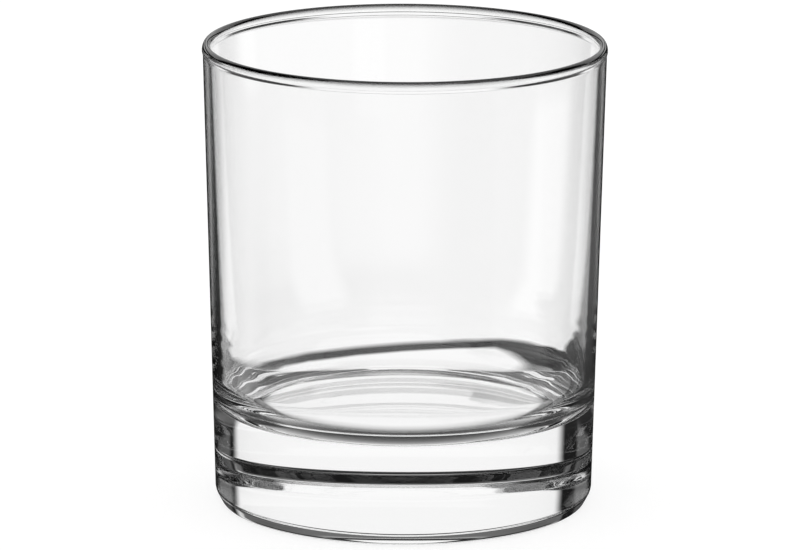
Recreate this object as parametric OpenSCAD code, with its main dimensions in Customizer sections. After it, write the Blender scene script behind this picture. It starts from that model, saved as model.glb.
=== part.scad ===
// Heavy-based rocks glass, one piece of clear glass.
// The glass stands on Z = 0 with its axis on +Z. Lengths are millimetres.

/* [Overall size] */
// Height from the table to the top of the rim
height = 96.5; // [70:0.5:130]
// Outside diameter of the wall, carried up to the rim
rim_d = 83; // [60:0.5:110]
// Outside diameter of the wall, carried down to the table
foot_d = 78; // [55:0.5:105]

/* [Wall and rim] */
// Thickness of the wall just under the rim
wall_rim = 1.5; // [1:0.1:3]
// Thickness of the wall where it meets the base
wall_base = 2.1; // [1.2:0.1:5]
// Thickness of the fire-polished rim bead
bead_w = 1.8; // [1.2:0.1:4]
// How far the bead stands out past the wall's outside
bead_proud = 0.12; // [0:0.02:0.5]
// Height of the bead's oval crown
crown_h = 1.6; // [0.6:0.1:4]
// Height over which the plain wall swells into the bead
swell_h = 0.6; // [0.2:0.1:2]

/* [Base] */
// Height of the inside floor above the table
floor_z = 19.4; // [10:0.1:25]
// Rounding between the inside floor and the wall
floor_round = 8.5; // [4:0.5:20]
// Height of the bevel at the heel, between the outside wall and the foot
heel_h = 2.6; // [1:0.1:5]
// Width of that bevel
heel_w = 1.4; // [0.4:0.1:4]
// Rounding between the wall and the bevel
heel_top_round = 1.2; // [0.3:0.1:1.5]
// Rounding between the bevel and the foot
heel_low_round = 0.8; // [0.3:0.1:1.2]
// Width of the flat ring that the glass stands on
ring_w = 4; // [2:0.5:8]
// Depth of the hollow under the base, at the axis
push_up = 0.3; // [0.1:0.1:4]

/* [Hidden] */

// Facets round the axis, and the largest gap between a rounding and the short straights that make it
$fn = 180;
arc_gap = 0.005;

rim_r = rim_d / 2;
foot_r = foot_d / 2;

// Radius of the straight outside wall, and of the straight inside wall, at a height
function outside_r(z) = foot_r + (rim_r - foot_r) * z / height;
function inside_r(z) = outside_r(z) - wall_base - (wall_rim - wall_base) * (z - floor_z) / (height - floor_z);

// The wall swells into the bead, which has a short straight side and an oval crown
bead_out_r = outside_r(height) + bead_proud;
bead_in_r = bead_out_r - bead_w;
bead_blend = swell_h / 4;
crown_z = height - crown_h;
bead_side_z = crown_z - swell_h / 4;
bead_foot_z = bead_side_z - swell_h;

// The flat ring lies between the heel's bevel and the hollow under the base
heel_out_r = outside_r(heel_h);
heel_in_r = heel_out_r - heel_w;
heel_turn = 90 - atan2(heel_w, heel_h);
ring_out_r = heel_in_r - heel_low_round * tan(heel_turn / 2);
ring_in_r = ring_out_r - ring_w;
hollow_r = (ring_in_r * ring_in_r + push_up * push_up) / (2 * push_up);

function unit(v) = v / norm(v);

// Degrees that one short straight may span on an arc of radius r
function arc_step(r) = 2 * acos(1 - arc_gap / r);

// Points on a circular arc, from one angle to another
function arc(centre, r, from, to) =
    let (steps = ceil(abs(to - from) / arc_step(r)))
    [for (i = [0:steps]) let (a = from + (to - from) * i / steps) centre + r * [cos(a), sin(a)]];

// Points over an upright half oval, from its outer end to its inner end
function half_oval(centre, half_w, h) =
    let (steps = ceil(180 / arc_step(max(half_w, h))))
    [for (i = [0:steps]) let (a = 180 * i / steps) centre + [half_w * cos(a), h * sin(a)]];

// The corner at p, between its neighbours a and b, rounded to radius r
function corner(a, p, b, r) =
    let (
        u = unit(a - p),
        v = unit(b - p),
        half = acos(u * v) / 2,
        centre = p + unit(u + v) * r / sin(half),
        start = p + u * r / tan(half) - centre,
        end = p + v * r / tan(half) - centre,
        from = atan2(start.y, start.x),
        sweep = atan2(start.x * end.y - start.y * end.x, start * end)
    )
    arc(centre, r, from, from + sweep);

// Every corner of a line of points but its two ends, each rounded to its own radius
function rounded(line, radii) = [
    for (i = [1:len(line) - 2])
        each corner(line[i - 1], line[i], line[i + 1], radii[i - 1])
];

// Underside of the hollow, from the axis out to the ring
hollow = arc([0, push_up - hollow_r], hollow_r, 90, 90 - asin(ring_in_r / hollow_r));

// From the ring round the heel's bevel and up the outside to the crown
outer_side = rounded(
    [
        [ring_in_r, 0],
        [heel_in_r, 0],
        [heel_out_r, heel_h],
        [outside_r(bead_foot_z), bead_foot_z],
        [bead_out_r, bead_side_z],
        [bead_out_r, crown_z],
    ],
    [heel_low_round, heel_top_round, bead_blend, bead_blend]
);

crown = half_oval([bead_out_r - bead_w / 2, crown_z], bead_w / 2, crown_h);

// From the crown down the inside to the floor
inner_side = rounded(
    [
        [bead_in_r, crown_z],
        [bead_in_r, bead_side_z],
        [inside_r(bead_foot_z), bead_foot_z],
        [inside_r(floor_z), floor_z],
        [0, floor_z],
    ],
    [bead_blend, bead_blend, floor_round]
);

module tumbler() {
    color("aliceblue", 0.35)
        rotate_extrude()
            polygon(concat(hollow, outer_side, crown, inner_side, [[0, floor_z]]));
}

tumbler();
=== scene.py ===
import math

import bmesh
import bpy
from mathutils import Matrix, Vector


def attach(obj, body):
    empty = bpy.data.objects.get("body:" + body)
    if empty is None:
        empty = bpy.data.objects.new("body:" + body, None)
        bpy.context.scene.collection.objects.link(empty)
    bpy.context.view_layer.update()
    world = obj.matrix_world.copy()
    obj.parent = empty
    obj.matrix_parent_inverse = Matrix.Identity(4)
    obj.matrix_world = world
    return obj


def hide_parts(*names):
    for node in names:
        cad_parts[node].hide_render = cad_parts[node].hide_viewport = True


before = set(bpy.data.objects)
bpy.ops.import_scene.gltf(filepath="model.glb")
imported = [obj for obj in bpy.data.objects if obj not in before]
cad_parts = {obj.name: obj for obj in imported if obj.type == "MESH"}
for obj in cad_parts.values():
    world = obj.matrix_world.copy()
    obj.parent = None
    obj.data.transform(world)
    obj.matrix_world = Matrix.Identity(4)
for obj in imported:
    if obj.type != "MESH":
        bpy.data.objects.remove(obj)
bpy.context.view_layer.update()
scene = bpy.context.scene
scene.view_settings.view_transform = "Standard"
print("frame loaded:", sorted(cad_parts))


class Wire:
    # a shader socket that takes part in sums
    def __init__(self, tree, socket=None):
        self.tree = tree
        self.socket = socket

    def node(self, kind, settings=None, sockets=None, out=0):
        made = self.tree.nodes.new(kind)
        for name, value in (settings or {}).items():
            setattr(made, name, value)
        for name, value in (sockets or {}).items():
            if isinstance(value, Wire):
                self.tree.links.new(value.socket, made.inputs[name])
            else:
                made.inputs[name].default_value = value
        if isinstance(out, tuple):
            return [Wire(self.tree, made.outputs[name]) for name in out]
        return Wire(self.tree, made.outputs[out]) if len(made.outputs) else None

    def maths(self, operation, *values):
        return self.node("ShaderNodeMath", {"operation": operation}, dict(enumerate(values)))

    def __add__(self, other):
        return self.maths("ADD", self, other)

    def __radd__(self, other):
        return self.maths("ADD", other, self)

    def __sub__(self, other):
        return self.maths("SUBTRACT", self, other)

    def __rsub__(self, other):
        return self.maths("SUBTRACT", other, self)

    def __mul__(self, other):
        return self.maths("MULTIPLY", self, other)

    def __rmul__(self, other):
        return self.maths("MULTIPLY", other, self)

    def largest(self, *others):
        result = self
        for other in others:
            result = self.maths("MAXIMUM", result, other)
        return result

    def ramp(self, low, high, fromValue=0.0, toValue=1.0):
        # smooth step between two values
        return self.node("ShaderNodeMapRange", {"interpolation_type": "SMOOTHSTEP"}, {
            "Value": self, "From Min": low, "From Max": high, "To Min": fromValue, "To Max": toValue})

    def band(self, low, lowFull, highFull, high):
        # 1 between the two full values, falling to 0 on either side
        return self.ramp(low, lowFull) * self.ramp(highFull, high, 1.0, 0.0)

    def coordinates(self, kind):
        return self.node("ShaderNodeTexCoord", out=kind)

    def apart(self):
        return self.node("ShaderNodeSeparateXYZ", {}, {0: self}, ("X", "Y", "Z"))

    def glassRays(self):
        # 1 for what is mirrored, and 1 for what is seen through glass
        return self.node("ShaderNodeLightPath", out=("Is Glossy Ray", "Is Transmission Ray"))


def newMaterial(name):
    material = bpy.data.materials.new(name)
    material.use_nodes = True
    material.node_tree.nodes.clear()
    return material, Wire(material.node_tree)


def addObject(name, bm, material):
    mesh = bpy.data.meshes.new(name)
    bm.to_mesh(mesh)
    bm.free()
    mesh.materials.append(material)
    made = bpy.data.objects.new(name, mesh)
    scene.collection.objects.link(made)
    return made


tumbler = {
    "height": 0.0965,
    "rimRadius": 0.0415,        # outside of the wall, carried up to the rim
    "footRadius": 0.0390,       # outside of the wall, carried down to the table
    "wallRim": 0.0015,
    "wallBase": 0.0021,
    "beadWidth": 0.0018,
    "beadProud": 0.00012,
    "crownHeight": 0.0016,      # of the bead's oval top
    "crownRound": 0.995,        # share of the bead's half width, so that its two roundings stay apart
    "swellHeight": 0.0006,      # over which the wall swells into the bead
    "floorHeight": 0.0194,
    "floorRound": 0.0085,
    "heelHeight": 0.0026,
    "heelWidth": 0.0014,
    "heelTopRound": 0.0024,
    "heelLowRound": 0.0008,
    "ringWidth": 0.004,
    "pushUp": 0.0003,           # hollow under the base
    "floorSteps": 48,           # steps of each rounding
    "heelTopSteps": 12,
    "heelLowSteps": 16,
    "crownSteps": 14,
    "blendSteps": 4,
    "straight": 0.0004,         # longer edges of the section are straights, which get cuts of their own
    "cut": 0.0007,              # length of these
    "fewestCuts": 4,
    "segments": 200,            # round the axis
    "merge": 1e-7,
}

# chill ripples low down on the inside wall, by the two mould joints
ripples = {
    "depth": 0.000012,
    "heights": (0.0205, 0.044),
    "joint": 157.5,             # way of the joints, degrees from +X
    "keep": 4,                  # how closely they keep to the joints
    # radians per metre of height, strength, and wander round the glass: times, swing, start
    "waves": [
        (1850, 1.0, [(2, 2.0, 0.5), (5, 1.0, 0.0)]),
        (2700, 0.6, [(3, 3.0, -math.pi / 2), (7, 1.5, 0.0)]),
    ],
}


def wallTaper(t):
    return (t["rimRadius"] - t["footRadius"]) / t["height"]


def outsideAt(t, z):
    return t["footRadius"] + wallTaper(t) * z


def insideAt(t, z):
    thinning = (t["wallRim"] - t["wallBase"]) / (t["height"] - t["floorHeight"])
    return outsideAt(t, z) - t["wallBase"] - thinning * (z - t["floorHeight"])


def roundCorner(bm, vert, radius, segments):
    a, b = [(e.other_vert(vert).co - vert.co).normalized() for e in vert.link_edges]
    reach = radius / math.tan(a.angle(b) / 2)
    bmesh.ops.bevel(bm, geom=[vert], offset=reach, offset_type="OFFSET", segments=segments,
                    profile=0.5, affect="VERTICES", material=-1, clamp_overlap=False)


def rippleWall(bm, t, r):
    low, high = r["heights"]
    for v in bm.verts:
        z, reach = v.co.z, math.hypot(v.co.x, v.co.y)
        if low < z < high and reach < outsideAt(t, z) - t["wallRim"] / 2:
            turn = math.atan2(v.co.y, v.co.x) - math.radians(r["joint"])
            wave = 0
            for perMetre, strength, swings in r["waves"]:
                wander = sum(swing * math.sin(times * turn + start) for times, swing, start in swings)
                wave += strength * math.sin(perMetre * z + wander)
            fade = math.sin(math.pi * (z - low) / (high - low)) * math.cos(turn) ** r["keep"]
            v.co.xy *= 1 + r["depth"] * fade * wave / reach


def shapeTumbler(t, r):
    half, blend = t["beadWidth"] / 2, t["swellHeight"] / 4
    crown = t["height"] - t["crownHeight"]
    crownRound = t["crownRound"] * half
    beadSide = crown - blend
    beadFoot = beadSide - t["swellHeight"]
    beadOut = outsideAt(t, t["height"]) + t["beadProud"]
    beadIn = beadOut - t["beadWidth"]
    heelOut = outsideAt(t, t["heelHeight"])
    heelIn = heelOut - t["heelWidth"]
    heelTurn = math.atan2(t["heelHeight"], t["heelWidth"])
    ringIn = heelIn - t["heelLowRound"] * math.tan(heelTurn / 2) - t["ringWidth"]
    # corners of the half section: place, rounding, steps of the rounding
    corners = [
        ((0, t["pushUp"]), 0, 0),
        ((ringIn, 0), 0, 0),
        ((heelIn, 0), t["heelLowRound"], t["heelLowSteps"]),
        ((heelOut, t["heelHeight"]), t["heelTopRound"], t["heelTopSteps"]),
        ((outsideAt(t, beadFoot), beadFoot), blend, t["blendSteps"]),
        ((beadOut, beadSide), blend, t["blendSteps"]),
        ((beadOut, crown + half), crownRound, t["crownSteps"]),
        ((beadIn, crown + half), crownRound, t["crownSteps"]),
        ((beadIn, beadSide), blend, t["blendSteps"]),
        ((insideAt(t, beadFoot), beadFoot), blend, t["blendSteps"]),
        ((insideAt(t, t["floorHeight"]), t["floorHeight"]), t["floorRound"], t["floorSteps"]),
        ((0, t["floorHeight"]), 0, 0),
    ]
    bm = bmesh.new()
    verts = [bm.verts.new((x, 0, z)) for (x, z), radius, steps in corners]
    bm.faces.new(verts)
    axisEdge = bm.edges.get((verts[0], verts[-1]))
    for vert, (place, radius, steps) in zip(verts, corners):
        if radius:
            roundCorner(bm, vert, radius, steps)
    bmesh.ops.delete(bm, geom=bm.faces[:], context="FACES_ONLY")
    bmesh.ops.delete(bm, geom=[axisEdge], context="EDGES")
    # round crown drawn up into an oval
    bmesh.ops.scale(bm, vec=(1, 1, t["crownHeight"] / half), space=Matrix.Translation((0, 0, -crown)),
                    verts=[v for v in bm.verts if v.co.z > crown])
    # cuts in the straights, so that smooth shading keeps them straight
    for edge in bm.edges[:]:
        length = edge.calc_length()
        if length > t["straight"]:
            cuts = max(t["fewestCuts"], int(length / t["cut"]))
            bmesh.ops.subdivide_edges(bm, edges=[edge], cuts=cuts)
    # shallow dome under the base
    for v in bm.verts:
        if t["merge"] < v.co.z < t["pushUp"] + t["merge"] and v.co.x < ringIn:
            v.co.z = t["pushUp"] * (1 - (v.co.x / ringIn) ** 2)
    bmesh.ops.spin(bm, geom=bm.verts[:] + bm.edges[:], cent=(0, 0, 0), axis=(0, 0, 1),
                   angle=2 * math.pi, steps=t["segments"], use_merge=True)
    bmesh.ops.remove_doubles(bm, verts=bm.verts[:], dist=t["merge"])
    rippleWall(bm, t, r)
    bmesh.ops.recalc_face_normals(bm, faces=bm.faces[:])
    for face in bm.faces:
        face.smooth = True
    return bm


glass = {
    "ior": 1.52,
    "crown": (0.0952, 0.0965),  # heights between which painted shade darkens the rim
    # how deep the painted shade on the rim goes
    "crownPaintedShade": 0.97,
    "edge": (0.69, 0.78),       # facing between which painted shade darkens the outside wall's outline
    "edgePaintedShade": 0.55,
    "edgeUp": (0.024, 0.034),   # heights above which it does
    "edgeSkin": (0.0012, 0.0004),               # how deep in the wall it ends, and is full
    "ring": (0.0318, 0.0322, 0.0356, 0.0360),   # worn ring that the glass stands on: radii
    "ringTop": (0.0001, 0.0003),                # heights between which the wear ends
    "ringRough": 0.12,
    "wearEven": 0.5,            # wear without scratches
    "scratchScale": 900,
    "scratchDetail": 6.0,
    "scratchBend": 2.0,
}


def clearGlass(g, t):
    material, wire = newMaterial("clear_glass")
    place = wire.coordinates("Object")
    x, y, height = place.apart()
    reach = wire.maths("SQRT", x * x + y * y)
    scratches = wire.node("ShaderNodeTexNoise", {}, {
        "Vector": place, "Scale": g["scratchScale"], "Detail": g["scratchDetail"],
        "Distortion": g["scratchBend"]}, "Fac")
    worn = reach.band(*g["ring"]) * height.ramp(*g["ringTop"], 1, 0) * (g["wearEven"] + scratches)
    facing = wire.node("ShaderNodeLayerWeight", out="Facing")
    skin = [t["footRadius"] - depth for depth in g["edgeSkin"]]
    outside = (reach - wallTaper(t) * height).ramp(*skin)
    # painted shade along the outside wall's outline, where it is seen edge on
    paintedOutlineShade = facing.ramp(*g["edge"]) * outside * height.ramp(*g["edgeUp"])
    # the glass's colour carries painted shade: on the rim and along the outside wall's outline
    paintedShadeTint = height.ramp(*g["crown"], 1, 1 - g["crownPaintedShade"]) * (1 - paintedOutlineShade * g["edgePaintedShade"])
    paintedShadeTint = paintedShadeTint * paintedShadeTint          # because each surface takes the root of its colour
    colour = wire.node("ShaderNodeCombineColor", {}, {0: paintedShadeTint, 1: paintedShadeTint, 2: paintedShadeTint})
    shader = wire.node("ShaderNodeBsdfPrincipled", {}, {
        "Base Color": colour, "Roughness": worn * g["ringRough"], "IOR": g["ior"],
        "Transmission Weight": 1.0})
    wire.node("ShaderNodeOutputMaterial", {}, {"Surface": shader})
    return material


glassPiece = addObject("tumbler_glass", shapeTumbler(tumbler, ripples), clearGlass(glass, tumbler))
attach(glassPiece, "root")
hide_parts("tumbler")
print("tumbler:", len(glassPiece.data.polygons), "faces")


# what the glass shows of its surroundings: levels are 0 black to 1 white, directions degrees from +X
studio = {
    "lookAlong": 247.5,                     # the way the camera looks
    "level": [(90, 14), (180, 11)],         # white far off, for looks from low down: middle, half width
    "soft": 3,                              # half width of the edges of what is behind the glass
    "softer": 8,                            # and of the others
    "dark": 0.01,                           # between them
    "bounces": 40,
    "glossyBounces": 9,
}


def turned(x, y, middle):
    # distance along a direction, and to the right of it
    turn = math.radians(middle)
    return x * math.cos(turn) + y * math.sin(turn), x * math.sin(turn) - y * math.cos(turn)


def degreesFrom(wire, x, y, middle):
    # degrees away from a direction, either way
    ahead, right = turned(x, y, middle)
    return wire.maths("ARCTAN2", wire.maths("ABSOLUTE", right), ahead) * (180 / math.pi)


def sector(wire, x, y, middle, half, soft):
    # 1 within so many degrees of a direction
    return degreesFrom(wire, x, y, middle).ramp(half - soft, half + soft, 1, 0)


def sectors(wire, x, y, directions, s):
    # the brightest of several, over the dark between them
    parts = [sector(wire, x, y, middle, half, s["softer"]) for middle, half in directions]
    return parts[0].largest(*parts[1:], s["dark"])


def across(lookAlong):
    # the ways ahead and right
    turns = (math.radians(lookAlong), math.radians(lookAlong - 90))
    return [Vector((math.cos(turn), math.sin(turn), 0)) for turn in turns]


# the table shows the glass painted light and shade, glowing for its rays only; to the camera it is plain
# white and takes the glass's own shadow
table = {
    "size": 24,
    "drop": 0.0001,                         # below the foot
    "shade": 0.35,                          # how strongly it takes the glass's shadow
    "glow": 0.72,                           # the rest of its white
    "white": (249.5, 27.5),                 # white behind the glass: middle, half width
    "gloss": (0.50, 0.55),                  # it mirrors the screen up to here
    "steep": [(135, 20), (318, 18)],        # painted white near the glass, for looks from higher up
    "steepEnd": (0.40, 0.45),
    "front": (112.5, 50, 85, 0.7),          # painted pale light by the camera: middle, full within, none beyond, level
    "mirror": (75, 105, 150, 0.65),         # the same painted light as outside surfaces mirror it
    "near": (0.06, 0.25),                   # both take painted shade towards the glass
    "under": (0.041, 0.044),                # edge of what lies under the glass
    "contact": (0.036, 0.010),              # painted shadow under the near side, from the axis: darkest, clear
    "contactWide": 0.6,                     # how fast it deepens sideways
    "contactTurn": 0.01,                    # either side of the axis, where the near side ends
    "contactSide": (0.028, 0.032),          # painted shadow at left and right, from the middle: none, full
    "contactDark": 0.05,
}


def paintedFootShadow(wire, ahead, right, t):
    # what is left of the light under the foot, through a painted shadow
    darkest, clear = t["contact"]
    back = wire.maths("MINIMUM", ahead, 0)
    wide = right * t["contactWide"]
    nearSide = ahead.ramp(-t["contactTurn"], t["contactTurn"], 1, 0)
    fromAxis = wire.maths("SQRT", back * back + wide * wide * nearSide)
    lit = wire.node("ShaderNodeMapRange", {}, {"Value": fromAxis, "From Min": darkest, "From Max": clear})
    lit = lit * lit * wire.maths("ABSOLUTE", right).ramp(*t["contactSide"], 1, 0)
    return t["contactDark"] + (1 - t["contactDark"]) * lit


def tableTop(t, s):
    material, wire = newMaterial("white_table")
    x, y = wire.coordinates("Object").apart()[:2]
    ahead, right = turned(x, y, s["lookAlong"])
    reach = wire.maths("SQRT", x * x + y * y)
    # painted shade on the table, deepening towards the glass
    clearOfPaintedShade = reach.ramp(*t["near"])

    def frontLevel(middle, full, end, level):
        return s["dark"] + clearOfPaintedShade * degreesFrom(wire, x, y, middle).ramp(full, end, level, 0)

    pale = frontLevel(*t["front"])
    paintedMirrored = frontLevel(*t["mirror"])
    white = sector(wire, x, y, *t["white"], s["soft"])
    whiteFarOff = white * reach.ramp(*t["gloss"])
    steep = sectors(wire, x, y, t["steep"], s) * reach.ramp(*t["steepEnd"], 1, 0)
    lowDown = sectors(wire, x, y, s["level"], s) * reach.ramp(*t["steepEnd"])
    level = pale.largest(whiteFarOff, steep, lowDown)
    under = reach.ramp(*t["under"], 1, 0)
    # under the glass the level gives way to the painted shadow
    level = level + under * (paintedFootShadow(wire, ahead, right, t) - level)
    glossy, through = wire.glassRays()
    # the glass sees this painted light and shade as the table's glow
    shown = paintedMirrored + through * (level - paintedMirrored)
    seen = wire.node("ShaderNodeEmission", {}, {"Color": shown, "Strength": 1.0})
    sheen = wire.node("ShaderNodeBsdfAnisotropic", {}, {"Color": (1, 1, 1, 1), "Roughness": 0.0})
    share = through * white * (1 - under) * reach.ramp(*t["gloss"], 1, 0)
    inGlass = wire.node("ShaderNodeMixShader", {}, {0: share, 1: seen, 2: sheen})
    shade = wire.node("ShaderNodeBsdfDiffuse", {}, {"Color": (t["shade"], t["shade"], t["shade"], 1)})
    glow = wire.node("ShaderNodeEmission", {}, {"Color": (1, 1, 1, 1), "Strength": t["glow"]})
    plain = wire.node("ShaderNodeAddShader", {}, {0: shade, 1: glow})
    mix = wire.node("ShaderNodeMixShader", {}, {0: glossy.largest(through), 1: plain, 2: inGlass})
    wire.node("ShaderNodeOutputMaterial", {}, {"Surface": mix})
    return material


def buildTable(t, s):
    bm = bmesh.new()
    bmesh.ops.create_grid(bm, x_segments=1, y_segments=1, size=t["size"] / 2)
    bmesh.ops.translate(bm, vec=(0, 0, -t["drop"]), verts=bm.verts[:])
    addObject("table", bm, tableTop(t, s))


def paintedShadeCard(wire, share, level):
    # a dark card of painted shade that shows only in the glass
    card = wire.node("ShaderNodeEmission", {}, {"Color": level, "Strength": 1.0})
    clear = wire.node("ShaderNodeBsdfTransparent")
    mix = wire.node("ShaderNodeMixShader", {}, {0: share, 1: clear, 2: card})
    wire.node("ShaderNodeOutputMaterial", {}, {"Surface": mix})


# painted shadow: black sheet just behind the glass, standing in for a shadow stripe on the table, seen only
# through it
# and from above: places right and ahead of the axis, each row from one edge over the dark middle to the
# other edge
paintedShadowSheet = {
    "unit": 0.001,              # all of this is in millimetres
    "height": 9.5,
    "share": (0, 1, 1, 0),      # how dark it is along each row
    "rows": [
        [(-27, 29), (-27.6, 30.5), (-29.5, 34), (-31.5, 36)],
        [(-25.5, 33), (-26, 34.5), (-28, 38.6), (-30, 41)],
        [(-24.3, 36), (-24.6, 38.6), (-25.1, 43.2), (-25.6, 48.5)],
        [(-20, 41.6), (-20.1, 44), (-20.3, 48.6), (-20.6, 53.5)],
        [(-10, 48), (-10.1, 50.3), (-10.2, 54.6), (-10.3, 60)],
        [(0, 52), (0, 54.4), (0, 59), (0, 65)],
        [(8, 54), (8, 56.5), (8, 61.3), (8.1, 68)],
        [(15.7, 55.2), (15.8, 58.2), (16, 64), (16.6, 73.5)],
        [(19.5, 55), (20.3, 60), (21.8, 69), (23, 79)],
        [(21.5, 50), (24, 54), (30, 67), (33, 80)],
        [(22.4, 46.5), (25, 49.5), (37, 69), (41, 80)],
        [(23.3, 43), (26, 45), (48, 86), (52, 97)],
        [(24, 39.5), (26.5, 41), (57, 95), (63, 107)],
        [(24.5, 36), (27, 37), (75, 85), (85, 95)],
        [(25, 31.5), (28, 31.5), (80, 45), (90, 45)],
    ],
    "leftRows": [
        [(-31, 33), (-35, 31), (-55, 28), (-65, 28)],
        [(-34, 39), (-38, 38), (-60, 34), (-70, 34)],
        [(-41, 52), (-46, 50), (-75, 45), (-85, 45)],
        [(-48, 70), (-52, 68), (-80, 62), (-90, 62)],
        [(-53, 81), (-57, 80), (-85, 78), (-95, 78)],
        [(-60, 92), (-66, 92), (-85, 92), (-95, 92)],
        [(-72, 104), (-76, 104), (-85, 104), (-90, 104)],
    ],
}


def buildPaintedShadowSheet(f, lookAlong):
    ahead, right = across(lookAlong)
    lift = Vector((0, 0, f["height"]))
    bm = bmesh.new()
    share = bm.verts.layers.float.new("share")
    for rows in (f["rows"], f["leftRows"]):
        grid = bmesh.ops.create_grid(bm, x_segments=len(f["share"]) - 1, y_segments=len(rows) - 1, size=1)
        places = [place for row in rows for place in row]
        for vert, (x, y), amount in zip(grid["verts"], places, f["share"] * len(rows)):
            vert.co = (right * x + ahead * y + lift) * f["unit"]
            vert[share] = amount
    bmesh.ops.reverse_faces(bm, faces=bm.faces[:])    # as the rows run, the grid lies face down
    material, wire = newMaterial("paintedShadowSheet")
    amount = wire.node("ShaderNodeAttribute", {"attribute_name": "share"}, out="Fac")
    below = wire.node("ShaderNodeNewGeometry", out="Backfacing")
    through = wire.glassRays()[1]
    paintedShadeCard(wire, through * amount * (1 - below), (0, 0, 0, 1))
    addObject("paintedShadowSheet", bm, material)


# painted shade: low dark band round the far side of the table, seen only in the glass
paintedShadeKerb = {
    "radius": 1.0,
    "spread": (46, 57),         # degrees either side of the way the camera looks: full to here, none beyond
    "steps": 80,
    "height": 0.25,
    "rise": 0.032 / 23 ** 2,    # of its top towards the sides: metres per degree squared
    "mostRise": 0.12,
    "dark": (0.024, 0.040, 0.006, 0.16),    # heights, and levels there
    "end": (0.050, 0.060),      # heights between which it fades out
}


def buildPaintedShadeKerb(k, lookAlong):
    ahead, right = across(lookAlong)
    end = math.radians(k["spread"][1])
    bm = bmesh.new()
    foot = bm.verts.new((ahead * math.cos(end) + right * math.sin(end)) * k["radius"])
    top = bm.verts.new(foot.co + Vector((0, 0, k["height"])))
    bm.edges.new((foot, top))
    bmesh.ops.spin(bm, geom=bm.verts[:] + bm.edges[:], cent=(0, 0, 0), axis=(0, 0, 1),
                   angle=2 * end, steps=k["steps"])
    material, wire = newMaterial("paintedShadeKerb")
    x, y, z = wire.coordinates("Object").apart()
    away = degreesFrom(wire, x, y, lookAlong)
    z = z - wire.maths("MINIMUM", away * away * k["rise"], k["mostRise"])
    glossy, through = wire.glassRays()
    share = glossy.largest(through) * z.ramp(*k["end"], 1, 0) * away.ramp(*k["spread"], 1, 0)
    paintedShadeCard(wire, share, z.ramp(*k["dark"]))
    addObject("paintedShadeKerb", bm, material)


# white screen behind the table, and the light overhead: heights are sines of elevation
screens = {
    "screen": (243.8, 49.2),                # middle, half width
    "horizon": (0.06, 0.08, 0.155, 0.185),  # dark band above the table's far edge
    "horizonFoot": (30, 40),                # and down to the table this far from the way the camera looks
    "horizonDark": 0.97,
    "side": (56, 60, 72, 78),               # dim grey beside the screen, from the way the camera looks
    "sideUp": (0.15, 0.20, 0.30, 0.34),
    "sideLevel": 0.14,
    "levelTop": (0.10, 0.15),               # low screens, for looks from low down
    "top": (0.60, 0.64),                    # the light overhead begins
    "topLeft": (-0.5, -0.2, 0.24),          # and higher up at the left: share of the way right, rise
    "topFront": (-0.6, -0.2, 0.3),          # and lower down over the camera: share of the way ahead, drop
}


def buildWorld(c, s):
    world = bpy.data.worlds.new("studio")
    scene.world = world
    world.use_nodes = True
    world.node_tree.nodes.clear()
    wire = Wire(world.node_tree)
    x, y, up = wire.coordinates("Generated").apart()
    ahead, right = turned(x, y, s["lookAlong"])
    away = degreesFrom(wire, x, y, s["lookAlong"])
    low, lowFull, highFull, high = c["horizon"]
    gap = up.ramp(low, lowFull).largest(away.ramp(*c["horizonFoot"])) * up.ramp(highFull, high, 1, 0)
    middle, half = c["screen"]
    screen = degreesFrom(wire, x, y, middle).ramp(half - s["soft"], half + s["soft"], 1, s["dark"])
    screen = screen * (1 - c["horizonDark"] * gap)
    side = away.band(*c["side"]) * up.band(*c["sideUp"]) * c["sideLevel"]
    lowDown = sectors(wire, x, y, s["level"], s) * up.ramp(*c["levelTop"], 1, 0)
    leftFull, leftFrom, rise = c["topLeft"]
    frontFull, frontFrom, drop = c["topFront"]
    overhead = up - right.ramp(leftFull, leftFrom, rise, 0) + ahead.ramp(frontFull, frontFrom, drop, 0)
    level = screen.largest(side, lowDown, overhead.ramp(*c["top"]))
    glossy, through = wire.glassRays()
    shown = 1 - glossy.largest(through) * (1 - level)
    background = wire.node("ShaderNodeBackground", {}, {"Color": shown, "Strength": 1.0})
    wire.node("ShaderNodeOutputWorld", {}, {"Surface": background})


buildTable(table, studio)
buildPaintedShadowSheet(paintedShadowSheet, studio["lookAlong"])
buildPaintedShadeKerb(paintedShadeKerb, studio["lookAlong"])
buildWorld(screens, studio)
scene.cycles.max_bounces = studio["bounces"]
scene.cycles.transmission_bounces = studio["bounces"]
scene.cycles.glossy_bounces = studio["glossyBounces"]
print("studio ready")


view = {
    "distance": 1.366,
    "elevation": 13.35,
    "pixelsPerMetre": 4840,      # at the glass's axis, in an 811 x 550 frame
    "frameWidth": 811,
    "offset": (1.4, -4.2),       # from the glass's middle to the frame's middle, in pixels
    "roll": 0.209,
    "clipEnd": 100,
}


def buildCamera(v, lookAlong, height):
    data = bpy.data.cameras.new("camera")
    data.lens = v["pixelsPerMetre"] * v["distance"] / v["frameWidth"] * data.sensor_width
    data.clip_end = v["clipEnd"]
    tilt = math.radians(v["elevation"])
    heading, right = across(lookAlong)
    ahead = heading * math.cos(tilt) - Vector((0, 0, math.sin(tilt)))
    up = right.cross(ahead)
    middle = Vector((0, 0, height / 2))
    place = middle - ahead * v["distance"]
    aim = middle + (right * v["offset"][0] + up * v["offset"][1]) / v["pixelsPerMetre"]
    turn = (aim - place).to_track_quat("-Z", "Y").to_matrix().to_4x4()
    roll = Matrix.Rotation(math.radians(v["roll"]), 4, "Z")
    camera = bpy.data.objects.new("camera", data)
    camera.matrix_world = Matrix.Translation(place) @ turn @ roll
    scene.collection.objects.link(camera)
    scene.camera = camera


buildCamera(view, studio["lookAlong"], tumbler["height"])
print("camera set")
